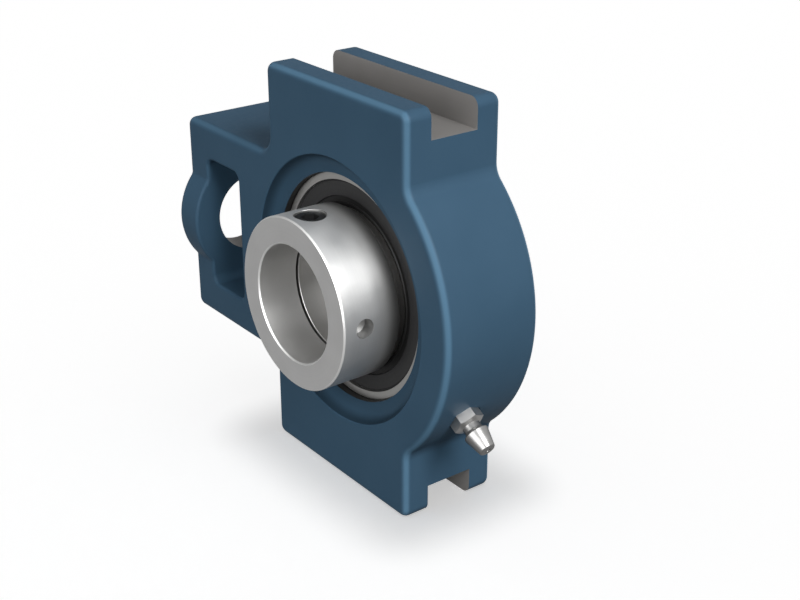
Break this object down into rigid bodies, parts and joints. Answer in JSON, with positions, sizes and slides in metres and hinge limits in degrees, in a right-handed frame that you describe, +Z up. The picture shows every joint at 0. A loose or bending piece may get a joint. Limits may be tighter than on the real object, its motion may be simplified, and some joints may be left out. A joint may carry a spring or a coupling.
{
  "type": "take up bearing unit",
  "caption": "Ball bearing insert with an eccentric locking collar in a cast housing that slides between two rails, pulled by a take up screw at one end.",
  "frame": {"origin": "centre of the bearing, on the shaft's axis and half way through the housing", "axes": "X along the take up travel with the screw end at -X, Y along the shaft with the locking collar towards -Y, Z up"},
  "size_m": [0.1183, 0.0452, 0.105],
  "materials": {
    "cast_housing": "satin",
    "ring_steel": "ground",
    "ball_steel": "polished",
    "cage_nylon": "matte",
    "seal_rubber": "matte",
    "collar_steel": "turned",
    "black_steel": "black oxide",
    "nipple_zinc": "bright zinc",
    "spring_steel": "drawn"
  },
  "bodies": {
    "housing": {"housing": "cast_housing", "nipple_body": "nipple_zinc", "nipple_spring": "spring_steel"},
    "insert": {"outer_ring": "ring_steel", "front_seal": "seal_rubber", "rear_seal": "seal_rubber"},
    "inner_ring": {"inner_ring": "ring_steel"},
    "cage": {"cage": "cage_nylon"},
    "ball_1": {"ball_1": "ball_steel"},
    "ball_2": {"ball_2": "ball_steel"},
    "ball_3": {"ball_3": "ball_steel"},
    "ball_4": {"ball_4": "ball_steel"},
    "ball_5": {"ball_5": "ball_steel"},
    "ball_6": {"ball_6": "ball_steel"},
    "ball_7": {"ball_7": "ball_steel"},
    "ball_8": {"ball_8": "ball_steel"},
    "ball_9": {"ball_9": "ball_steel"},
    "locking_collar": {"locking_collar": "collar_steel"},
    "set_screw": {"set_screw": "black_steel"},
    "nipple_ball": {"nipple_ball": "ball_steel"}
  },
  "joints": [
    {"name": "insert_swivel", "type": "hinge", "parent": "housing", "child": "insert", "pos_m": [0, 0, 0], "axis": [1, 0, 0], "range_deg": [-5, 5]},
    {"name": "inner_spin", "type": "hinge", "parent": "insert", "child": "inner_ring", "pos_m": [0, 0, 0], "axis": [0, 1, 0], "continuous": true},
    {"name": "cage_spin", "type": "hinge", "parent": "insert", "child": "cage", "pos_m": [0, 0, 0], "axis": [0, 1, 0], "continuous": true},
    {"name": "ball_1_spin", "type": "hinge", "parent": "cage", "child": "ball_1", "pos_m": [0.023, 0, 0], "axis": [0, 1, 0], "continuous": true},
    {"name": "ball_2_spin", "type": "hinge", "parent": "cage", "child": "ball_2", "pos_m": [0.01762, 0, 0.01478], "axis": [0, 1, 0], "continuous": true},
    {"name": "ball_3_spin", "type": "hinge", "parent": "cage", "child": "ball_3", "pos_m": [0.00399, 0, 0.02265], "axis": [0, 1, 0], "continuous": true},
    {"name": "ball_4_spin", "type": "hinge", "parent": "cage", "child": "ball_4", "pos_m": [-0.0115, 0, 0.01992], "axis": [0, 1, 0], "continuous": true},
    {"name": "ball_5_spin", "type": "hinge", "parent": "cage", "child": "ball_5", "pos_m": [-0.02161, 0, 0.00787], "axis": [0, 1, 0], "continuous": true},
    {"name": "ball_6_spin", "type": "hinge", "parent": "cage", "child": "ball_6", "pos_m": [-0.02161, 0, -0.00787], "axis": [0, 1, 0], "continuous": true},
    {"name": "ball_7_spin", "type": "hinge", "parent": "cage", "child": "ball_7", "pos_m": [-0.0115, 0, -0.01992], "axis": [0, 1, 0], "continuous": true},
    {"name": "ball_8_spin", "type": "hinge", "parent": "cage", "child": "ball_8", "pos_m": [0.00399, 0, -0.02265], "axis": [0, 1, 0], "continuous": true},
    {"name": "ball_9_spin", "type": "hinge", "parent": "cage", "child": "ball_9", "pos_m": [0.01762, 0, -0.01478], "axis": [0, 1, 0], "continuous": true},
    {"name": "collar_turn", "type": "hinge", "parent": "inner_ring", "child": "locking_collar", "pos_m": [0, 0, 0], "axis": [0, 1, 0], "range_deg": [-10, 10]},
    {"name": "set_screw_feed", "type": "slide", "parent": "locking_collar", "child": "set_screw", "axis": [0, 0, 1], "range_m": [-0.0003, 0.003]},
    {"name": "nipple_check", "type": "slide", "parent": "housing", "child": "nipple_ball", "axis": [-0.8616, 0, 0.5075], "range_m": [0, 0.0008], "stiffness_N_per_m": 150, "springref_m": -0.001, "deforming": ["nipple_spring"]}
  ],
  "couplings": [
    {"joint": "cage_spin", "follows": "inner_spin", "ratio": 0.39647},
    {"joint": "ball_1_spin", "follows": "inner_spin", "ratio": -2.3112},
    {"joint": "ball_2_spin", "follows": "inner_spin", "ratio": -2.3112},
    {"joint": "ball_3_spin", "follows": "inner_spin", "ratio": -2.3112},
    {"joint": "ball_4_spin", "follows": "inner_spin", "ratio": -2.3112},
    {"joint": "ball_5_spin", "follows": "inner_spin", "ratio": -2.3112},
    {"joint": "ball_6_spin", "follows": "inner_spin", "ratio": -2.3112},
    {"joint": "ball_7_spin", "follows": "inner_spin", "ratio": -2.3112},
    {"joint": "ball_8_spin", "follows": "inner_spin", "ratio": -2.3112},
    {"joint": "ball_9_spin", "follows": "inner_spin", "ratio": -2.3112}
  ]
}
